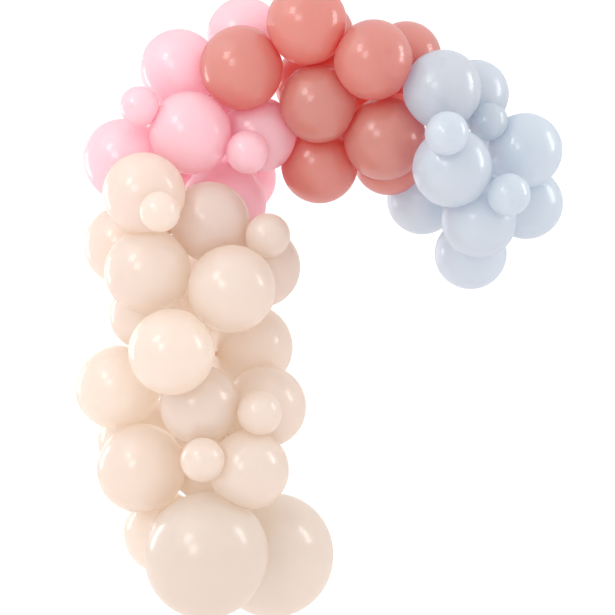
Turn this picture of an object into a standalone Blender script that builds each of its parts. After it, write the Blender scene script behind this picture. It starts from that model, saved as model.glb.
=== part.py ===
"""A half arch of balloons: round latex balloons tied along one perforated strip, each pressed flat on its neighbours.

Metres. X runs to the right, Y away from the viewer to the wall, Z up. The origin is where the strip hangs.
"""

from math import acos, asin, ceil, cos, pi, sin, sqrt, tan

import bmesh
import bpy
from mathutils import Vector

# Driving dimensions
SMALL_RADIUS = 0.065
MEDIUM_RADIUS = 0.120
LARGE_RADIUS = 0.182
PRESS = 0.080  # how far a balloon gives where it meets another, as a share of its radius
PEAR = 1.18  # where the taper's sides would meet, in radii from the centre
NECK_RADIUS = 0.009
NECK_LENGTH = 0.022  # what shows of the tied neck beyond the taper
STRIP_WIDTH = 0.024
STRIP_THICKNESS = 0.0015
HOLE_RADIUS = 0.005
HOLE_PITCH = 0.260
HOLE_SIDES = 6
HANGING_FLAT = 0.050  # length of the level stretch that the arch hangs by
HANGING_ROOM = 0.006  # kept free above and beside that stretch
PIECE_GAP = 0.0003

# How the places are found
SETTLE_STEP = 0.002
LONGEST_SLIDE = 1.2 * MEDIUM_RADIUS
HOLD = 0.85 * PRESS  # the least press that holds one balloon to another
STRIP_STEP = 0.060
NECK_CHOICES = 400
ROOM_WORTH = 4.0  # what counts for a neck's direction, next to 1 for pointing straight at the strip
HIDING_WORTH = 2.0
HIDING_SHARE = 0.95
ROUND_STEPS = {"small": 9, "medium": 10, "large": 14}
CROWN_STEPS = {"small": 4, "medium": 5, "large": 7}
MERGE_DISTANCE = 0.00001
SLIVER = 0.00005  # corners closer than this are made one
CUTTER_DEPTH = 6 * STRIP_THICKNESS
RADIUS = {"small": SMALL_RADIUS, "medium": MEDIUM_RADIUS, "large": LARGE_RADIUS}

# The places below are shares of the usual balloon's radius. They are read from the front, from this eye point,
# as they show at the strip's distance.
EYE = Vector((0.892, -26.667, -6.342)) * MEDIUM_RADIUS

# The strip's route, across and up: from the foot of the column to the hanging flat, and on to the drooping end
COLUMN_ROUTE = [
    (-1.100, -13.600),
    (-0.850, -12.150),
    (-0.750, -10.525),
    (-1.250, -9.150),
    (-1.675, -7.900),
    (-1.725, -6.150),
    (-1.900, -4.650),
    (-2.250, -3.400),
    (-2.200, -2.275),
    (-1.800, -1.400),
    (-1.250, -0.700),
    (-0.625, -0.150),
]
DROOP_ROUTE = [
    (0.750, -0.167),
    (1.575, -0.650),
    (2.700, -1.150),
    (3.825, -1.650),
    (4.750, -2.450),
    (5.150, -3.525),
    (5.150, -4.650),
]

# Colour, size, layer, across, up, fill. Layer -1 is tied in front of the strip and 1 behind it, and a higher
# number is laid over the ones before it. Fill is the size it shows, as a share of the full size.
BALLOONS = [
    ("cream", "large", -1, -1.625, -12.525, 1.02),
    ("cream", "large", 1, 0.025, -12.517, 1.00),
    ("cream", "medium", 1, -2.688, -11.950, 1.00),
    ("cream", "medium", 1, -1.500, -10.200, 1.05),
    ("cream", "medium", -1, -3.250, -10.350, 1.10),
    ("cream", "medium", -1, -0.575, -10.400, 1.00),
    ("cream", "small", -3, -1.733, -10.150, 1.02),
    ("cream", "medium", 1, -3.275, -9.600, 1.05),
    ("cream", "medium", -1, -1.800, -8.775, 1.00),
    ("cream", "small", -3, -0.300, -8.975, 1.04),
    ("cream", "medium", 1, -0.165, -8.815, 1.02),
    ("cream", "medium", -1, -3.842, -8.333, 1.05),
    ("cream", "medium", -2, -2.500, -7.450, 1.08),
    ("cream", "medium", 1, -0.550, -7.325, 1.07),
    ("cream", "medium", 1, -3.158, -6.500, 0.90),
    ("cream", "medium", -2, -1.000, -5.875, 1.10),
    ("cream", "medium", -2, -3.100, -5.425, 1.08),
    ("cream", "medium", 1, -0.300, -5.325, 1.01),
    ("cream", "small", -3, -0.100, -4.550, 1.04),
    ("cream", "medium", -1, -1.550, -4.200, 1.00),
    ("cream", "medium", -2, -3.192, -3.500, 1.03),
    ("cream", "small", -3, -2.800, -3.950, 0.94),
    ("cream", "medium", 1, -3.717, -4.775, 0.98),
    ("cream", "medium", 1, -1.725, -6.000, 1.05),
    ("pink", "medium", 1, -3.675, -2.663, 1.03),
    ("pink", "small", -3, -3.300, -1.317, 0.92),
    ("pink", "medium", 1, -2.300, -0.400, 0.99),
    ("pink", "medium", -1, -2.050, -1.975, 1.03),
    ("pink", "medium", 1, -0.667, 0.433, 0.95),
    ("pink", "medium", 1, -0.300, -2.025, 0.93),
    ("pink", "small", -3, -0.608, -2.458, 1.00),
    ("pink", "medium", 1, -1.200, -3.738, 1.06),
    ("pink", "medium", 2, -0.825, -3.100, 0.93),
    ("pink", "medium", 1, -1.000, -1.450, 0.85),
    ("pink", "small", 1, -2.100, -3.175, 0.95),
    ("coral", "medium", -1, -0.758, -0.358, 1.04),
    ("coral", "medium", 1, 1.175, 0.450, 0.88),
    ("coral", "medium", -1, 0.875, 0.750, 1.01),
    ("coral", "medium", -1, 1.167, -1.242, 0.98),
    ("coral", "medium", 1, 1.192, -2.775, 0.96),
    ("coral", "medium", -1, 2.533, -0.158, 0.99),
    ("coral", "medium", 1, 3.342, -0.100, 0.89),
    ("coral", "medium", -1, 2.825, -2.125, 1.03),
    ("coral", "medium", 1, 2.925, -2.650, 0.88),
    ("coral", "medium", 1, 2.900, -1.250, 0.95),
    ("coral", "medium", 1, 1.025, -0.750, 0.95),
    ("blue", "medium", -1, 4.258, -0.900, 0.98),
    ("blue", "medium", 1, 5.050, -1.025, 0.86),
    ("blue", "small", -3, 4.375, -1.992, 1.02),
    ("blue", "small", -3, 5.408, -1.700, 0.90),
    ("blue", "medium", -2, 4.508, -2.850, 0.99),
    ("blue", "medium", 1, 6.300, -2.433, 0.94),
    ("blue", "small", -3, 5.925, -3.525, 0.99),
    ("blue", "medium", 1, 6.375, -3.750, 0.88),
    ("blue", "medium", -1, 5.175, -4.175, 0.93),
    ("blue", "medium", 1, 4.967, -4.992, 0.89),
    ("blue", "medium", 1, 3.767, -3.633, 0.88),
    ("blue", "medium", 1, 5.575, -2.775, 0.90),
]

# Base colour, roughness and metallic value of each material
FINISHES = {
    "cream": ((0.90, 0.79, 0.69), 0.30, 0.0),
    "pink": ((0.93, 0.62, 0.66), 0.30, 0.0),
    "coral": ((0.80, 0.30, 0.25), 0.30, 0.0),
    "blue": ((0.58, 0.70, 0.79), 0.30, 0.0),
    "strip": ((0.85, 0.88, 0.90), 0.20, 0.0),
}


class Balloon:
    """One balloon's place in the arch, found from where it shows from the front."""

    def __init__(self, colour, size, layer, across, up, fill):
        self.colour = colour
        self.size = size
        self.layer = layer
        self.shown = Vector((across * MEDIUM_RADIUS - EYE.x, 0, up * MEDIUM_RADIUS - EYE.z))
        self.shown_radius = RADIUS[size] * fill
        self.set_depth(0)

    def set_depth(self, depth):
        """Moves it along its line of sight, where it keeps the outline that shows."""
        reach = 1 - depth / EYE.y
        self.radius = self.shown_radius * reach
        self.centre = Vector((EYE.x, depth, EYE.z)) + self.shown * reach


def clear_scene():
    for obj in list(bpy.data.objects):
        bpy.data.objects.remove(obj, do_unlink=True)


def new_collection(name):
    collection = bpy.data.collections.new(name)
    bpy.context.scene.collection.children.link(collection)
    return collection


def new_material(name):
    colour, roughness, metallic = FINISHES[name]
    material = bpy.data.materials.new(name)
    material.use_nodes = True
    shader = material.node_tree.nodes["Principled BSDF"]
    shader.inputs["Base Color"].default_value = (*colour, 1)
    shader.inputs["Roughness"].default_value = roughness
    shader.inputs["Metallic"].default_value = metallic
    return material


def route_corners():
    """The corners of the strip's route, which is level for the length of the hanging flat."""
    flat = [Vector((-HANGING_FLAT / 2, 0)), Vector((HANGING_FLAT / 2, 0))]
    column = [Vector(corner) * MEDIUM_RADIUS for corner in COLUMN_ROUTE]
    droop = [Vector(corner) * MEDIUM_RADIUS for corner in DROOP_ROUTE]
    return column + flat + droop


def smooth_route(corners, step):
    """Points about a step apart on a smooth curve through the corners, straight along the hanging flat."""
    knots = [2 * corners[0] - corners[1], *corners, 2 * corners[-1] - corners[-2]]
    points = []
    for before, start, end, after in zip(knots, knots[1:], knots[2:], knots[3:]):
        is_level = start.y == end.y == 0
        count = 1 if is_level else max(1, round((end - start).length / step))
        leave, arrive = (end - before) / 2, (after - start) / 2
        for i in range(count):
            t = i / count
            points.append(
                start * (2 * t**3 - 3 * t**2 + 1)
                + leave * (t**3 - 2 * t**2 + t)
                + end * (3 * t**2 - 2 * t**3)
                + arrive * (t**3 - t**2)
            )
    points.append(knots[-2])
    return [Vector((p.x, 0, p.y - STRIP_THICKNESS / 2)) for p in points]


def strip_flats(centre, route, with_hanging_flat=True):
    """For each stretch of the strip, the direction to it from a centre and how far its surface is."""
    flats = []
    for start, end in zip(route, route[1:]):
        is_hanging_flat = max(start.length, end.length) < HANGING_FLAT / 2 + PIECE_GAP
        if is_hanging_flat and not with_hanging_flat:
            continue
        along = end - start
        share = max(0, min(1, (centre - start).dot(along) / along.length_squared))
        away = start + along * share - centre
        way = away.normalized()
        depth_share = abs(way.y)
        half_depth = STRIP_WIDTH / 2 * depth_share + STRIP_THICKNESS / 2 * sqrt(1 - depth_share**2)
        room = HANGING_ROOM if is_hanging_flat else PIECE_GAP
        flats.append((way, away.length - half_depth - room))
    return flats


def press_between(balloon, other):
    """How much two balloons press on each other, as a share of their radii, less than 0 when they are apart."""
    return 1 - (balloon.centre - other.centre).length / (balloon.radius + other.radius)


def press_on_strip(balloon, route, with_hanging_flat=True):
    flats = strip_flats(balloon.centre, route, with_hanging_flat)
    return 1 - min(distance for _, distance in flats) / balloon.radius


def is_crowded(balloon, placed, route):
    """Would it press more than it gives on a balloon that is there already, or on the strip?"""
    if any(press_between(balloon, other) > PRESS for other in placed):
        return True
    return press_on_strip(balloon, route) > PRESS


def settle(balloons, route):
    """Lays the balloons on, layer by layer, each from outside until it rests on the strip or on those before it."""
    placed = []
    for balloon in sorted(balloons, key=lambda b: abs(b.layer)):
        side = 1 if balloon.layer > 0 else -1
        outermost = max((abs(b.centre.y) + b.radius for b in placed), default=0) + 2 * balloon.radius
        depth = ceil(outermost / SETTLE_STEP) * SETTLE_STEP
        balloon.set_depth(depth * side)
        while depth > 0 and not is_crowded(balloon, placed, route):
            depth -= SETTLE_STEP
            balloon.set_depth(depth * side)
        placed.append(balloon)


def is_held(balloon, holders, route):
    """Does it press firmly on a balloon that is held, or on the strip?"""
    if any(press_between(balloon, holder) > HOLD for holder in holders):
        return True
    return press_on_strip(balloon, route, with_hanging_flat=False) > HOLD


def held_balloons(balloons, route):
    """The balloons that the strip carries, by themselves or through others, and the rest."""
    held = [b for b in balloons if is_held(b, [], route)]
    waiting = [b for b in balloons if b not in held]
    for holder in held:
        caught = [b for b in waiting if press_between(holder, b) > HOLD]
        held += caught
        waiting = [b for b in waiting if b not in caught]
    return held, waiting


def hanging_together(balloon, waiting):
    """The balloons that hang on this one, among those that nothing holds yet."""
    group = [balloon]
    for member in group:
        group += [w for w in waiting if w not in group and press_between(member, w) > HOLD]
    return group


def slide(group, depths, distance):
    for member, depth in zip(group, depths):
        member.set_depth(depth + distance)


def shortest_slide(group, held, route):
    """The shortest way along its lines of sight to where a group presses on what is held, or None."""
    depths = [member.centre.y for member in group]
    found = None
    for count in range(1, ceil(LONGEST_SLIDE / SETTLE_STEP)):
        for distance in (count * SETTLE_STEP, -count * SETTLE_STEP):
            slide(group, depths, distance)
            if found is None and any(is_held(member, held, route) for member in group):
                found = distance
        if found is not None:
            break
    slide(group, depths, 0)
    return found


def pull_in(group, held):
    """Pulls a group straight to the nearest balloon that is held."""
    holder, nearest = max(((h, m) for h in held for m in group), key=lambda pair: press_between(*pair))
    away = holder.centre - nearest.centre
    pull = away.normalized() * (away.length - (1 - PRESS) * (holder.radius + nearest.radius))
    for member in group:
        depth = member.centre.y + pull.y
        member.shown += Vector((pull.x, 0, pull.z))
        member.set_depth(depth)


def draw_in(balloons, route):
    """Brings what nothing holds yet to what is held, group by group, each time the one that has the least to go."""
    held, waiting = held_balloons(balloons, route)
    while waiting:
        groups = [hanging_together(balloon, waiting) for balloon in waiting]
        slides = [(shortest_slide(group, held, route), group) for group in groups]
        slides = [(distance, group) for distance, group in slides if distance is not None]
        if slides:
            distance, group = min(slides, key=lambda pair: abs(pair[0]))
            slide(group, [member.centre.y for member in group], distance)
        else:
            pull_in(groups[0], held)
        held, waiting = held_balloons(balloons, route)


def pressed_flats(balloon, balloons, route):
    """The flats that the neighbours and the strip press on a balloon: directions, and distances from its centre."""
    flats = strip_flats(balloon.centre, route)
    for other in balloons:
        if other is balloon:
            continue
        away = other.centre - balloon.centre
        apart = away.length
        middle = (apart**2 + balloon.radius**2 - other.radius**2) / (2 * apart)
        flats.append((away / apart, middle - PIECE_GAP / 2))
    longest = PEAR * balloon.radius + NECK_LENGTH
    return [(way, distance) for way, distance in flats if distance < longest]


def free_reach(way, flats):
    """How far a straight line from the centre runs before it meets a flat."""
    reach = float("inf")
    for normal, distance in flats:
        slope = normal.dot(way)
        if slope > 0:
            reach = min(reach, distance / slope)
    return reach


def is_hidden(point, balloons):
    """Does a balloon stand between the eye point and this point?"""
    sight = point - EYE
    for balloon in balloons:
        share = (balloon.centre - EYE).dot(sight) / sight.length_squared
        if share < 1 and (EYE + sight * share - balloon.centre).length < HIDING_SHARE * balloon.radius:
            return True
    return False


def neck_direction(balloon, balloons, flats, route):
    """Where the neck points: out of sight, where there is room for it, and as straight to the strip as it can."""
    strip = min(route, key=lambda p: (p - balloon.centre).length)
    homeward = (strip - balloon.centre).normalized()
    reach = PEAR * balloon.radius + NECK_LENGTH
    golden = pi * (3 - sqrt(5))
    best, best_score = homeward, float("-inf")
    for i in range(NECK_CHOICES):
        up = 1 - (2 * i + 1) / NECK_CHOICES
        level = sqrt(1 - up * up)
        way = Vector((cos(golden * i) * level, sin(golden * i) * level, up))
        room = min(1, free_reach(way, flats) / reach)
        hidden = is_hidden(balloon.centre + way * reach, balloons)
        score = ROOM_WORTH * room + HIDING_WORTH * hidden + way.dot(homeward)
        if score > best_score:
            best, best_score = way, score
    return best


def corner_radius(balloon):
    """The corners' distance from the centre, as far outside the round balloon as the edges between run inside."""
    return balloon.radius * 2 / (1 + cos(pi / ROUND_STEPS[balloon.size]))


def pear_outline(radius, size):
    """Half the outline of a blown-up balloon, as distances from its axis and heights, neck end first."""
    shoulder = acos(1 / PEAR)
    slope = asin(1 / PEAR)
    root = PEAR * radius - NECK_RADIUS / tan(slope)
    tip = PEAR * radius + NECK_LENGTH
    outline = [(0, tip), (NECK_RADIUS, tip), (NECK_RADIUS, root)]
    steps = CROWN_STEPS[size]
    for i in range(steps):
        angle = shoulder + (pi - shoulder) * i / steps
        outline.append((radius * sin(angle), radius * cos(angle)))
    return outline + [(0, -radius)]


def turned_body(outline, steps):
    """A closed body turned about Z from half an outline that starts and ends on the axis."""
    body = bmesh.new()
    corners = [body.verts.new((x, 0, z)) for x, z in outline]
    edges = [body.edges.new(pair) for pair in zip(corners, corners[1:])]
    bmesh.ops.spin(
        body, geom=corners + edges, axis=(0, 0, 1), cent=(0, 0, 0), steps=steps, angle=2 * pi, use_merge=True
    )
    bmesh.ops.remove_doubles(body, verts=body.verts, dist=MERGE_DISTANCE)
    bmesh.ops.recalc_face_normals(body, faces=body.faces)
    return body


def press_flat(body, way, distance):
    """Cuts a body off flat, square to a direction, at a distance from its centre."""
    cut = bmesh.ops.bisect_plane(
        body,
        geom=body.verts[:] + body.edges[:] + body.faces[:],
        dist=MERGE_DISTANCE,
        plane_co=way * distance,
        plane_no=way,
        clear_outer=True,
    )
    rim = [e for e in cut["geom_cut"] if isinstance(e, bmesh.types.BMEdge) and e.is_boundary]
    if rim:
        bmesh.ops.holes_fill(body, edges=rim, sides=0)


def make_balloon(name, balloon, balloons, route, material, collection, parent):
    flats = pressed_flats(balloon, balloons, route)
    neck = neck_direction(balloon, balloons, flats, route)
    turn = Vector((0, 0, 1)).rotation_difference(neck)
    body = turned_body(pear_outline(corner_radius(balloon), balloon.size), ROUND_STEPS[balloon.size])
    for way, distance in flats:
        press_flat(body, turn.inverted() @ way, distance)
    bmesh.ops.remove_doubles(body, verts=body.verts, dist=SLIVER)
    bmesh.ops.recalc_face_normals(body, faces=body.faces)
    mesh = bpy.data.meshes.new(name)
    body.to_mesh(mesh)
    body.free()
    mesh.materials.append(material)
    mesh.shade_smooth()
    obj = bpy.data.objects.new(name, mesh)
    obj.location = balloon.centre
    obj.rotation_mode = "QUATERNION"
    obj.rotation_quaternion = turn
    obj.parent = parent
    collection.objects.link(obj)
    return obj


def strip_ribbon(route, collection):
    """The strip's band on its route: a ribbon that stands on edge, so that it bends with the arch."""
    curve = bpy.data.curves.new("strip_route", "CURVE")
    curve.dimensions = "3D"
    line = curve.splines.new("POLY")
    line.points.add(len(route) - 1)
    for point, place in zip(line.points, route):
        point.co = (place.x, place.z, 0, 1)
    curve.extrude = STRIP_WIDTH / 2
    ribbon = bpy.data.objects.new("strip_route", curve)
    ribbon.rotation_euler.x = pi / 2
    collection.objects.link(ribbon)
    return ribbon


def hole_stations(route):
    """Where the strip is holed, a pitch apart and clear of the hanging flat: places, and the way through."""
    stations, walked, wanted = [], 0.0, HOLE_PITCH / 2
    for start, end in zip(route, route[1:]):
        length = (end - start).length
        along = (end - start) / length
        while wanted < walked + length:
            place = start + along * (wanted - walked)
            if place.length > HANGING_FLAT / 2 + 2 * HOLE_RADIUS:
                stations.append((place, Vector((-along.z, 0, along.x))))
            wanted += HOLE_PITCH
        walked += length
    return stations


def make_hole_cutter(route, collection):
    cutter_body = bmesh.new()
    for place, through in hole_stations(route):
        turn = Vector((0, 0, 1)).rotation_difference(through).to_matrix().to_4x4()
        turn.translation = place
        bmesh.ops.create_cone(
            cutter_body,
            cap_ends=True,
            segments=HOLE_SIDES,
            radius1=HOLE_RADIUS,
            radius2=HOLE_RADIUS,
            depth=CUTTER_DEPTH,
            matrix=turn,
        )
    mesh = bpy.data.meshes.new("strip_holes")
    cutter_body.to_mesh(mesh)
    cutter_body.free()
    cutter = bpy.data.objects.new("strip_holes", mesh)
    cutter.hide_render = True
    cutter.display_type = "WIRE"
    collection.objects.link(cutter)
    return cutter


def make_strip(route, material, collection, cutters, parent):
    ribbon = strip_ribbon(route, collection)
    bpy.context.view_layer.update()
    flat = bpy.data.meshes.new_from_object(ribbon.evaluated_get(bpy.context.evaluated_depsgraph_get()))
    strip = bpy.data.objects.new("balloon_strip", flat)
    strip.matrix_world = ribbon.matrix_world
    bpy.data.objects.remove(ribbon)
    flat.materials.append(material)
    collection.objects.link(strip)
    strip.parent = parent
    thick = strip.modifiers.new("thickness", "SOLIDIFY")
    thick.thickness = STRIP_THICKNESS
    thick.offset = 0
    thick.use_even_offset = True
    holes = strip.modifiers.new("holes", "BOOLEAN")
    holes.operation = "DIFFERENCE"
    holes.solver = "EXACT"
    holes.object = make_hole_cutter(route, cutters)
    return strip


def main():
    clear_scene()
    collection = new_collection("balloon_arch")
    cutters = new_collection("cutters")
    arch = bpy.data.objects.new("arch_origin", None)
    collection.objects.link(arch)
    materials = {name: new_material(name) for name in FINISHES}

    route = smooth_route(route_corners(), STRIP_STEP)
    make_strip(route, materials["strip"], collection, cutters, arch)

    balloons = [Balloon(*row) for row in BALLOONS]
    settle(balloons, route)
    draw_in(balloons, route)
    counts = {}
    for balloon in balloons:
        kind = f"{balloon.colour}_{balloon.size}"
        counts[kind] = counts.get(kind, 0) + 1
        name = f"{kind}_{counts[kind]}"
        make_balloon(name, balloon, balloons, route, materials[balloon.colour], collection, arch)


main()
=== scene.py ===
"""Looks for the balloon arch: latex skins, necks and knots, clear strip, studio, camera. Metres, +Z up."""

import random
from math import cos, pi, sin, tau

import bmesh
import bpy
import numpy as np
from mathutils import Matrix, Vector, noise


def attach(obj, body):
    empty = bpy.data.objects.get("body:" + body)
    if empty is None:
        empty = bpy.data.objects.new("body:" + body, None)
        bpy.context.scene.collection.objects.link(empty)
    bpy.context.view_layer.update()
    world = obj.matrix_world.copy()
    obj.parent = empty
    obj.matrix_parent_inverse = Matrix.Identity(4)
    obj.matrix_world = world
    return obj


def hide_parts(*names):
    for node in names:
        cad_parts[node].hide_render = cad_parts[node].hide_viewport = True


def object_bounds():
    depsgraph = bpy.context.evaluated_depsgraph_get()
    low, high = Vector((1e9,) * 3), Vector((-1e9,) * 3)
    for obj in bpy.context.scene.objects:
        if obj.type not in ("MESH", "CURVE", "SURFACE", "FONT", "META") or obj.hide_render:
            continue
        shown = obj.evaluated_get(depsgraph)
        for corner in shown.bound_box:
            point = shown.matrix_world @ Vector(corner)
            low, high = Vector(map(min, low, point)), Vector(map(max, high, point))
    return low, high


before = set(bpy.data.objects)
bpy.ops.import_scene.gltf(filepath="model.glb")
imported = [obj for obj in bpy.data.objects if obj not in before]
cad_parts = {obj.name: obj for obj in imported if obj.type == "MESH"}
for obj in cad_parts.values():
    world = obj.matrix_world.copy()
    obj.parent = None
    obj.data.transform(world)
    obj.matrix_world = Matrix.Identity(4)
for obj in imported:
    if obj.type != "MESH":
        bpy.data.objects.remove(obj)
cad_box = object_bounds()

# Camera: where the photograph was taken from, and the width that it takes in at the strip
CAMERA_DISTANCE = 3.2
CAMERA_ACROSS = 0.107
CAMERA_UP = -0.761
VIEW_WIDTH = 1.845
SENSOR = 36.0
FAR_CLIP = 100

# Studio
MIDDLE = (0.05, 0.0, -0.70)
FLOOR_DROP = 0.60
BRIGHT_SIDE = (-0.30, 0.30, 0.90)  # where the surroundings are brightest
BRIGHT_WORLD = 1.25
DIM_WORLD = 0.80
FLOOR_REACH = 14.0
WINDOW_PANES = 2  # each way
WINDOW_PITCH = (0.56, 0.74)
BARS = 3
BAR_PITCH = 0.24

# Balloons and strip, as the solids are built
PIECE_GAP = 0.0003
ROUND_STEPS = {"small": 9, "medium": 10, "large": 14}
STRIP_WIDTH = 0.024
STRIP_THICKNESS = 0.0015
HANGING_FLAT = 0.050
HANGING_ROOM = 0.006

# Reading the solids
FIT_SEED = 7
FIT_TRIES = 1500
FIT_TOLERANCE = 2e-5
FLAT_PICK = 1e-7  # four corners with a smaller determinant than this lie too nearly in one plane
RIM_TOLERANCE = 1e-4
LEVEL_TOLERANCE = 1e-5
NECK_FROM = 1.04  # corners farther out than this many radii are the neck's
NEAR_PLANE = 1.05  # a neighbour's plane counts up to this many times the balloon's reach

# Balloons, as they look
SEGMENTS = {"small": 56, "medium": 76, "large": 112}
BODY_RINGS = {"small": 40, "medium": 56, "large": 84}
TAPER_RINGS = 14
TAPER_START = 0.72  # angle from the neck where the taper leaves the round, in radians
TAPER_LEAVE = 0.62  # how far the taper runs on in the round's direction, in radii
TAPER_ARRIVE = 0.24  # and in the neck's direction
NECKLESS_TIP = 1.1  # where the lip ends when the solid shows no neck, in radii
NECK_TUBE = 0.0048
KNOT_BELOW_TIP = 0.016
TUBE_BELOW_KNOT = 0.007
KNOT_RADIUS = 0.0078
KNOT_HALF_HEIGHT = 0.006
KNOT_STEPS = 9
WAIST = ((0.8, 0.0068), (1.05, 0.0100))  # past the knot: shares of the neck's radius, heights over the knot
LIP_ABOVE_KNOT = 0.0135
LIP_RADIUS = 0.0085
LIP_ROLL = 0.0018
LIP_STEPS = 6
LIP_TURN = 1.2  # how far the lip rolls round, in half turns
MOUTH = (0.7, 0.0008)  # inside the lip: share of the neck's radius, depth
PLEATS = 13
PLEAT_DEPTH = 0.05
PLEAT_WANDER = 2.1  # how far the pleats stray from even spacing, in radians of a pleat
PLEAT_SHIFT = 900  # makes balloons of unlike radius stray unlike, in radians a metre
SHARPNESS = 34  # how sharply a pressed flat turns into the round
LEAST_SLOPE = 1e-4
BODY_REACH = 1.02  # skin within this many radii is the round body, which is slightly uneven
LUMP_SCALE = 2.3
LUMP_SPREAD = 5  # keeps neighbours' lumps unlike
LUMP_HEIGHT = 0.0025
LUMP_SINK = 0.0015
CROWN_SPOT = 0.14  # how much thicker the latex looks at the crown, next to 1 at the neck
CROWN_WIDTH = 0.22

# The strip, as it looks
BAND_THICKNESS = 0.0009
BAND_HOLE_RADIUS = 0.0045
BAND_PITCH = 0.040
BAND_STEP = 0.004
CELL_ALONG = 8
CELL_ACROSS = 4
CELL_RINGS = (0.0, 0.45, 0.75, 1.0)  # from a cell's border, 0, to its hole, 1
MERGE = 1e-6
EDGE_ANGLE = 0.7

# Latex colours, linear: what the skin sends back, what shines through it, and both where it is thick
LATEX = {
    "cream": ((0.815, 0.78, 0.77), (0.95, 0.84, 0.725), (0.86, 0.68, 0.53)),
    "pink": ((0.96, 0.89, 0.94), (0.98, 0.59, 0.66), (0.88, 0.38, 0.45)),
    "coral": ((0.73, 0.48, 0.40), (0.88, 0.10, 0.05), (0.56, 0.13, 0.10)),
    "blue": ((0.765, 0.81, 0.82), (0.68, 0.745, 0.83), (0.42, 0.56, 0.72)),
}
LARGE_PAINTED_SHADE = 0.90  # the big ones' colours times this: painted shade, darkening the big balloons at the foot of the arch
THROUGH = 0.57  # the share of the light that goes through the skin


def hermite(start, leave, end, arrive, t):
    """The point at t, from 0 to 1, of the curve that leaves and arrives with the two given slopes."""
    return (
        start * (2 * t**3 - 3 * t**2 + 1)
        + leave * (t**3 - 2 * t**2 + t)
        + end * (3 * t**2 - 2 * t**3)
        + arrive * (t**3 - t**2)
    )


def unique_points(obj):
    """An object's corners, each once."""
    points = np.array([v.co[:] for v in obj.data.vertices])
    return np.unique(points.round(6), axis=0)


def fit_round(points):
    """Centre and radius of the round that most corners of a solid lie on."""
    draw = random.Random(FIT_SEED)
    best_count, best = 0, None
    for _ in range(FIT_TRIES):
        picked = points[draw.sample(range(len(points)), 4)]
        rows = 2 * (picked[1:] - picked[0])
        if abs(np.linalg.det(rows)) < FLAT_PICK:
            continue
        centre = np.linalg.solve(rows, (picked[1:] ** 2).sum(1) - (picked[0] ** 2).sum())
        radius = np.linalg.norm(picked[0] - centre)
        count = (abs(np.linalg.norm(points - centre, axis=1) - radius) < FIT_TOLERANCE).sum()
        if count > best_count:
            best_count, best = count, (centre, radius)
    return best


class Balloon:
    """A balloon's place, read from its solid: centre, radius and the way its neck points."""

    def __init__(self, node):
        self.node = node
        self.colour, self.size, _ = node.rsplit("_", 2)
        points = unique_points(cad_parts[node])
        centre, corner_radius = fit_round(points)
        self.centre = centre
        self.radius = corner_radius * (1 + cos(pi / ROUND_STEPS[self.size])) / 2
        spread = points - centre
        reach = np.linalg.norm(spread, axis=1)
        neck = spread[reach > NECK_FROM * corner_radius]
        self.has_neck = len(neck) > 3
        self.reach = reach.max()
        axis = neck.mean(0) if self.has_neck else np.array((0, 1.0, 0))
        self.axis = axis / np.linalg.norm(axis)


def strip_stations(solid):
    """The strip's route, read from its solid: points mid-way through its thickness, from the foot on."""
    points = unique_points(solid)
    rim = points[points[:, 1] > points[:, 1].max() - RIM_TOLERANCE][:, [0, 2]]
    waiting = [Vector(p) for p in rim]
    stations = []
    while waiting:
        corner = waiting.pop()
        twin = min(waiting, key=lambda p: (p - corner).length)
        waiting.remove(twin)
        stations.append((corner + twin) / 2)
    chain = [min(stations, key=lambda p: p.y + p.x)]
    stations.remove(chain[0])
    while stations:
        nearest = min(stations, key=lambda p: (p - chain[-1]).length)
        stations.remove(nearest)
        chain.append(nearest)
    return chain


def smooth_stretches(stations, step):
    """Points about a step apart between each two stations, on a smooth curve, straight where it is level."""
    knots = [2 * stations[0] - stations[1], *stations, 2 * stations[-1] - stations[-2]]
    stretches = []
    for before, start, end, after in zip(knots, knots[1:], knots[2:], knots[3:]):
        is_level = abs(start.y - end.y) < LEVEL_TOLERANCE
        count = max(2, round((end - start).length / step))
        leave = (end - start) if is_level else (end - before) / 2
        arrive = (end - start) if is_level else (after - start) / 2
        stretch = []
        for i in range(count + 1):
            p = hermite(start, leave, end, arrive, i / count)
            stretch.append(Vector((p.x, 0, p.y)))
        stretches.append(stretch)
    return stretches


def pressed_planes(balloon, balloons, stretches):
    """Normals and distances of the planes that neighbours and the strip press on a balloon."""
    normals, distances = [], []
    for other in balloons:
        if other is balloon:
            continue
        away = other.centre - balloon.centre
        apart = np.linalg.norm(away)
        middle = (apart**2 + balloon.radius**2 - other.radius**2) / (2 * apart) - PIECE_GAP / 2
        if middle < balloon.reach * NEAR_PLANE:
            normals.append(away / apart)
            distances.append(middle)
    centre = Vector(balloon.centre)
    for stretch in stretches:
        nearest = min(stretch, key=lambda p: (p - centre).length)
        away = nearest - centre
        way = away.normalized()
        half_depth = STRIP_WIDTH / 2 * abs(way.y) + STRIP_THICKNESS / 2 * (1 - way.y**2) ** 0.5
        is_hanging = max(stretch[0].length, stretch[-1].length) < HANGING_FLAT / 2 + 2 * PIECE_GAP
        distance = away.length - half_depth - (HANGING_ROOM if is_hanging else PIECE_GAP)
        if distance < balloon.reach:
            normals.append(np.array(way))
            distances.append(distance)
    return np.array(normals), np.array(distances)


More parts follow.
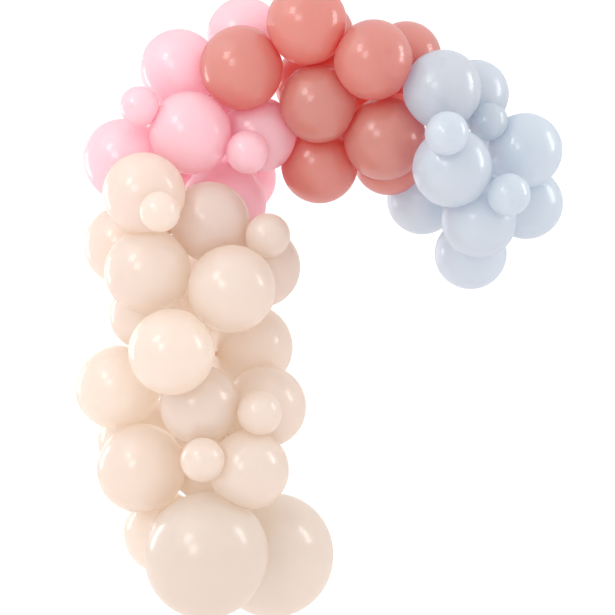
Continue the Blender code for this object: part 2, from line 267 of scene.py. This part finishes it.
def balloon_outline(balloon):
    """Half the outline, crown to lip: distance from the axis, height, and how thick the latex is."""
    r = balloon.radius
    rings = BODY_RINGS[balloon.size]
    outline = []
    for i in range(rings + 1):
        angle = pi - (pi - TAPER_START) * i / rings
        crown = max(0.0, 1 - (pi - angle) / CROWN_WIDTH)
        outline.append((r * sin(angle), r * cos(angle), CROWN_SPOT * crown**1.5))
    start = Vector((r * sin(TAPER_START), r * cos(TAPER_START)))
    leave = Vector((-cos(TAPER_START), sin(TAPER_START))) * r * TAPER_LEAVE
    tip = balloon.reach if balloon.has_neck else r * NECKLESS_TIP
    knot_height = tip - KNOT_BELOW_TIP
    root = Vector((NECK_TUBE, knot_height - TUBE_BELOW_KNOT))
    arrive = Vector((0, r * TAPER_ARRIVE))
    for i in range(1, TAPER_RINGS + 1):
        t = i / TAPER_RINGS
        p = hermite(start, leave, root, arrive, t)
        outline.append((max(p.x, NECK_TUBE), p.y, t**2))
    for i in range(1, KNOT_STEPS):
        angle = pi * i / KNOT_STEPS
        bulge = NECK_TUBE + (KNOT_RADIUS - NECK_TUBE) * sin(angle)
        outline.append((bulge, knot_height - KNOT_HALF_HEIGHT * cos(angle), 1.0))
    for share, height in WAIST:
        outline.append((NECK_TUBE * share, knot_height + height, 1.0))
    lip_height = knot_height + LIP_ABOVE_KNOT
    for i in range(LIP_STEPS + 1):
        angle = -pi / 2 + pi * LIP_TURN * i / LIP_STEPS
        out = LIP_RADIUS - LIP_ROLL + LIP_ROLL * cos(angle)
        outline.append((out, lip_height + LIP_ROLL * sin(angle), 1.0))
    mouth_share, mouth_depth = MOUTH
    outline.append((NECK_TUBE * mouth_share, lip_height - mouth_depth, 1.0))
    return outline


def make_skin(balloon, planes):
    """The balloon's fine skin: turned, pleated at the neck, slightly uneven, and flat on what it meets."""
    normals, distances = planes
    outline = np.array(balloon_outline(balloon))
    segments = SEGMENTS[balloon.size]
    around = np.arange(segments) * tau / segments
    z_axis = Vector(balloon.axis)
    turn = np.array(Vector((0, 0, 1)).rotation_difference(z_axis).to_matrix())
    wide, high, thick = outline[1:, 0:1], outline[1:, 1:2], outline[1:, 2:3]
    is_neck = high > balloon.radius * cos(TAPER_START)
    stray = PLEAT_WANDER * np.sin(3 * around + balloon.radius * PLEAT_SHIFT)
    pleated = wide * (1 + PLEAT_DEPTH * is_neck * thick**1.5 * np.cos(PLEATS * around + stray))
    local = np.stack([pleated * np.cos(around), pleated * np.sin(around), high + 0 * around], axis=-1)
    bottom = np.array([[0.0, 0.0, outline[0, 1]]])
    top = np.array([[0.0, 0.0, outline[-1, 1]]])
    points = np.concatenate([bottom, local.reshape(-1, 3), top]) @ turn.T
    reach = np.linalg.norm(points, axis=1)
    ways = points / reach[:, None]
    if len(normals):
        slopes = np.maximum(ways @ normals.T, LEAST_SLOPE)
        limits = distances[None, :] / slopes
        share = ((reach[:, None] / limits) ** SHARPNESS).sum(1)
        pressed = reach * (1 + share) ** (-1 / SHARPNESS)
    else:
        pressed = reach
    lumps = np.array([noise.noise(Vector(w * LUMP_SCALE + balloon.centre * LUMP_SPREAD)) for w in ways])
    is_body = reach < balloon.radius * BODY_REACH
    pressed = pressed * (1 + np.where(is_body, LUMP_HEIGHT * lumps - LUMP_SINK, 0))
    world = balloon.centre + ways * pressed[:, None]
    rings = len(outline) - 1
    faces = []
    last = 1 + rings * segments
    for s in range(segments):
        n = (s + 1) % segments
        faces.append((0, 1 + n, 1 + s))
        for k in range(rings - 1):
            a, b = 1 + k * segments, 1 + (k + 1) * segments
            faces.append((a + s, a + n, b + n, b + s))
        faces.append((last - segments + s, last - segments + n, last))
    mesh = bpy.data.meshes.new("skin_" + balloon.node)
    mesh.from_pydata(world.tolist(), [], faces)
    mesh.shade_smooth()
    attribute = mesh.attributes.new("thick", "FLOAT", "POINT")
    values = np.concatenate([[outline[0, 2]], np.repeat(outline[1:, 2], segments), [1.0]])
    attribute.data.foreach_set("value", values.astype(np.float32))
    skin = bpy.data.objects.new("skin_" + balloon.node, mesh)
    bpy.context.scene.collection.objects.link(skin)
    return skin


def add(tree, kind, **values):
    """A shader node with its inputs set by name."""
    node = tree.nodes.new(kind)
    for name, value in values.items():
        node.inputs[name.replace("_", " ")].default_value = value
    return node


def blend(tree, factor, first, second):
    """The output of a colour mix; each of the three may be a socket or a value."""
    mix = tree.nodes.new("ShaderNodeMix")
    mix.data_type = "RGBA"
    for name, value in (("Factor", factor), ("A", first), ("B", second)):
        if isinstance(value, bpy.types.NodeSocket):
            tree.links.new(value, mix.inputs[name])
        elif name == "Factor":
            mix.inputs[name].default_value = value
        else:
            mix.inputs[name].default_value = (*value, 1)
    return mix.outputs["Result"]


def latex_material(colour, size):
    """Thin blown-up latex: a satin skin that part of the light shines through, and that clouds a little; the
    big ones are a darker copy, painted shade.
    """
    # painted shade: the big balloons' colours are darkened so they look less lit
    painted_shade = LARGE_PAINTED_SHADE if size == "large" else 1.0
    tones = [tuple(painted_shade * c for c in tone) for tone in LATEX[colour]]
    skin_colour, through_colour, thick_colour = tones
    material = bpy.data.materials.new(f"{colour}_latex_{size}")
    material.use_nodes = True
    tree = material.node_tree
    shader = tree.nodes["Principled BSDF"]
    place = tree.nodes.new("ShaderNodeTexCoord").outputs["Object"]
    cloud = add(tree, "ShaderNodeTexNoise", Scale=6.0, Detail=2.0, Roughness=0.5)
    dust = add(tree, "ShaderNodeTexNoise", Scale=420.0, Detail=2.0, Roughness=0.6)
    for texture in (cloud, dust):
        tree.links.new(place, texture.inputs["Vector"])
    band = add(tree, "ShaderNodeMapRange", From_Min=0.35, From_Max=0.7, To_Min=0.0, To_Max=0.07)
    tree.links.new(cloud.outputs["Fac"], band.inputs["Value"])
    latex = tree.nodes.new("ShaderNodeAttribute")
    latex.attribute_name = "thick"
    both = add(tree, "ShaderNodeMath")
    both.operation = "ADD"
    both.use_clamp = True
    tree.links.new(band.outputs["Result"], both.inputs[0])
    tree.links.new(latex.outputs["Fac"], both.inputs[1])
    base = blend(tree, both.outputs["Value"], skin_colour, thick_colour)
    tree.links.new(base, shader.inputs["Base Color"])
    rough = add(tree, "ShaderNodeMapRange", From_Min=0.3, From_Max=0.7, To_Min=0.26, To_Max=0.34)
    tree.links.new(dust.outputs["Fac"], rough.inputs["Value"])
    tree.links.new(rough.outputs["Result"], shader.inputs["Roughness"])
    bump = add(tree, "ShaderNodeBump", Strength=0.03, Distance=0.0004)
    tree.links.new(dust.outputs["Fac"], bump.inputs["Height"])
    tree.links.new(bump.outputs["Normal"], shader.inputs["Normal"])
    shader.inputs["IOR"].default_value = 1.6
    shader.inputs["Coat Weight"].default_value = 1.0
    shader.inputs["Coat Roughness"].default_value = 0.15
    shader.inputs["Coat IOR"].default_value = 1.6
    shader.inputs["Sheen Weight"].default_value = 0.4
    shader.inputs["Sheen Roughness"].default_value = 0.5
    shine = tree.nodes.new("ShaderNodeBsdfTranslucent")
    glow = blend(tree, both.outputs["Value"], through_colour, thick_colour)
    tree.links.new(glow, shine.inputs["Color"])
    mixed = tree.nodes.new("ShaderNodeMixShader")
    mixed.inputs["Fac"].default_value = THROUGH
    tree.links.new(shader.outputs["BSDF"], mixed.inputs[1])
    tree.links.new(shine.outputs["BSDF"], mixed.inputs[2])
    tree.links.new(mixed.outputs["Shader"], tree.nodes["Material Output"].inputs["Surface"])
    return material


def clear_material():
    """Clear soft plastic with faint drawing lines along the band."""
    material = bpy.data.materials.new("clear_strip")
    material.use_nodes = True
    tree = material.node_tree
    shader = tree.nodes["Principled BSDF"]
    shader.inputs["Base Color"].default_value = (0.93, 0.96, 0.98, 1)
    shader.inputs["Transmission Weight"].default_value = 0.85
    shader.inputs["IOR"].default_value = 1.45
    place = tree.nodes.new("ShaderNodeTexCoord").outputs["Object"]
    lines = add(tree, "ShaderNodeTexNoise", Scale=90.0, Detail=2.0)
    tree.links.new(place, lines.inputs["Vector"])
    rough = add(tree, "ShaderNodeMapRange", From_Min=0.3, From_Max=0.7, To_Min=0.12, To_Max=0.26)
    tree.links.new(lines.outputs["Fac"], rough.inputs["Value"])
    tree.links.new(rough.outputs["Result"], shader.inputs["Roughness"])
    return material


def band_cell(start, length, has_hole):
    """One pitch of the band, flat: points along and across it, and faces, with a round hole or without."""
    half_long, half_wide = length / 2, STRIP_WIDTH / 2
    border = [(-half_long + length * i / CELL_ALONG, -half_wide) for i in range(CELL_ALONG)]
    border += [(half_long, -half_wide + STRIP_WIDTH * i / CELL_ACROSS) for i in range(CELL_ACROSS)]
    border += [(half_long - length * i / CELL_ALONG, half_wide) for i in range(CELL_ALONG)]
    border += [(-half_long, half_wide - STRIP_WIDTH * i / CELL_ACROSS) for i in range(CELL_ACROSS)]
    rings = []
    for share in CELL_RINGS:
        ring = []
        for x, y in border:
            reach = (x * x + y * y) ** 0.5
            inner = BAND_HOLE_RADIUS / reach
            scale = 1 - share * (1 - inner)
            ring.append((start + half_long + x * scale, y * scale))
        rings.append(ring)
    count = len(border)
    points = [p for ring in rings for p in ring]
    faces = []
    for k in range(len(rings) - 1):
        for i in range(count):
            j = (i + 1) % count
            faces.append((k * count + i, k * count + j, (k + 1) * count + j, (k + 1) * count + i))
    if not has_hole:
        faces.append(tuple(range((len(rings) - 1) * count, len(rings) * count)))
    return points, faces


def make_band(stretches):
    """The clear band on the strip's route, with a round hole every pitch except along its hanging flat."""
    line = [p for stretch in stretches for p in stretch[:-1]] + [stretches[-1][-1]]
    walked = [0.0]
    for start, end in zip(line, line[1:]):
        walked.append(walked[-1] + (end - start).length)
    xs = np.array([p.x for p in line])
    zs = np.array([p.z for p in line])
    cells = round(walked[-1] / BAND_PITCH)
    length = walked[-1] / cells
    points, faces = [], []
    for cell in range(cells):
        middle = (cell + 0.5) * length
        from_hook = Vector((np.interp(middle, walked, xs), np.interp(middle, walked, zs))).length
        has_hole = from_hook > HANGING_FLAT / 2 + 2 * BAND_HOLE_RADIUS
        flat_points, cell_faces = band_cell(cell * length, length, has_hole)
        offset = len(points)
        points += [(np.interp(s, walked, xs), y, np.interp(s, walked, zs)) for s, y in flat_points]
        faces += [tuple(offset + i for i in face) for face in cell_faces]
    mesh = bpy.data.meshes.new("clear_band")
    mesh.from_pydata(points, [], faces)
    body = bmesh.new()
    body.from_mesh(mesh)
    bmesh.ops.remove_doubles(body, verts=body.verts, dist=MERGE)
    bmesh.ops.recalc_face_normals(body, faces=body.faces)
    body.to_mesh(mesh)
    body.free()
    band = bpy.data.objects.new("clear_band", mesh)
    bpy.context.scene.collection.objects.link(band)
    thick = band.modifiers.new("thickness", "SOLIDIFY")
    thick.thickness = BAND_THICKNESS
    thick.offset = 0
    bpy.context.view_layer.update()
    evaluated = band.evaluated_get(bpy.context.evaluated_depsgraph_get())
    solid = bpy.data.meshes.new_from_object(evaluated)
    band.modifiers.clear()
    band.data = solid
    solid.shade_smooth()
    solid.set_sharp_from_angle(angle=EDGE_ANGLE)
    return band


def make_stage():
    """A wide pale floor, well under the arch as it hangs."""
    floor_height = cad_box[0][2] - FLOOR_DROP
    mesh = bpy.data.meshes.new("studio_floor")
    corners = [(-1, -1), (1, -1), (1, 1), (-1, 1)]
    points = [(x * FLOOR_REACH, y * FLOOR_REACH, floor_height) for x, y in corners]
    mesh.from_pydata(points, [], [(0, 1, 2, 3)])
    floor = bpy.data.objects.new("studio_floor", mesh)
    bpy.context.scene.collection.objects.link(floor)
    material = bpy.data.materials.new("studio_pale")
    material.use_nodes = True
    shader = material.node_tree.nodes["Principled BSDF"]
    shader.inputs["Base Color"].default_value = (0.93, 0.89, 0.885, 1)
    shader.inputs["Roughness"].default_value = 0.9
    mesh.materials.append(material)


def add_light(name, way, distance, size, radiance, shift=(0, 0)):
    """A rectangular softbox in the direction way from the arch's middle, as bright as radiance."""
    lamp = bpy.data.lights.new(name, "AREA")
    lamp.shape = "RECTANGLE"
    lamp.size, lamp.size_y = size
    lamp.energy = radiance * pi * size[0] * size[1]
    obj = bpy.data.objects.new(name, lamp)
    way = Vector(way).normalized()
    turn = (-way).to_track_quat("-Z", "Y")
    obj.location = Vector(MIDDLE) + way * distance + turn @ Vector((*shift, 0))
    obj.rotation_euler = turn.to_euler()
    bpy.context.scene.collection.objects.link(obj)


def light_studio():
    """White surroundings, a lamp and window panes at the front left, bars at the right, soft light round."""
    add_light("front_lamp", (-0.37, -0.905, 0.20), 4.5, (1.2, 1.3), 4.8)
    for row in range(WINDOW_PANES):
        for column in range(WINDOW_PANES):
            shift = (WINDOW_PITCH[0] * column, WINDOW_PITCH[1] * row)
            add_light(f"window_{row}_{column}", (-0.62, -0.66, 0.42), 5.0, (0.46, 0.66), 8.0, shift)
    for bar in range(BARS):
        shift = (BAR_PITCH * (bar - (BARS - 1) / 2), 0)
        add_light(f"bars_right_{bar}", (0.93, -0.12, 0.37), 3.2, (0.13, 1.7), 12, shift)
    add_light("tall_left", (-0.90, 0.40, 0.04), 4.0, (0.70, 2.0), 7)
    add_light("wall_left", (-0.55, 0.82, 0.15), 5.0, (2.6, 3.2), 1.2)
    add_light("sheet_top", (-0.55, -0.45, 0.70), 3.0, (2.2, 2.2), 0.8)
    world = bpy.data.worlds.new("studio")
    world.use_nodes = True
    tree = world.node_tree
    background = tree.nodes["Background"]
    background.inputs["Color"].default_value = (1.0, 1.0, 1.0, 1)
    side = tree.nodes.new("ShaderNodeVectorMath")
    side.operation = "DOT_PRODUCT"
    side.inputs[1].default_value = BRIGHT_SIDE
    way = tree.nodes.new("ShaderNodeTexCoord").outputs["Generated"]
    tree.links.new(way, side.inputs[0])
    level = add(tree, "ShaderNodeMapRange", From_Min=-1.0, To_Min=DIM_WORLD, To_Max=BRIGHT_WORLD)
    tree.links.new(side.outputs["Value"], level.inputs["Value"])
    tree.links.new(level.outputs["Result"], background.inputs["Strength"])
    bpy.context.scene.world = world


def place_camera():
    """A level camera, square to the wall, at the photograph's viewing angle."""
    camera = bpy.data.cameras.new("camera")
    camera.sensor_width = SENSOR
    camera.lens = SENSOR * CAMERA_DISTANCE / VIEW_WIDTH
    camera.clip_end = FAR_CLIP
    obj = bpy.data.objects.new("camera", camera)
    obj.location = (CAMERA_ACROSS, -CAMERA_DISTANCE, CAMERA_UP)
    obj.rotation_euler = (pi / 2, 0, 0)
    bpy.context.scene.collection.objects.link(obj)
    bpy.context.scene.camera = obj


def main():
    """Camera, studio, the strip's band, and a skin for each balloon."""
    place_camera()
    make_stage()
    light_studio()
    bpy.context.scene.view_settings.view_transform = "Standard"
    nodes = sorted(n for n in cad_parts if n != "balloon_strip")
    balloons = [Balloon(node) for node in nodes]
    kinds = sorted({(balloon.colour, balloon.size) for balloon in balloons})
    materials = {kind: latex_material(*kind) for kind in kinds}
    stretches = smooth_stretches(strip_stations(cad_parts["balloon_strip"]), BAND_STEP)
    band = make_band(stretches)
    band.data.materials.append(clear_material())
    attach(band, "root")
    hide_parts("balloon_strip")
    for balloon in balloons:
        skin = make_skin(balloon, pressed_planes(balloon, balloons, stretches))
        skin.data.materials.append(materials[balloon.colour, balloon.size])
        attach(skin, "root")
        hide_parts(balloon.node)


main()
bpy.context.view_layer.update()
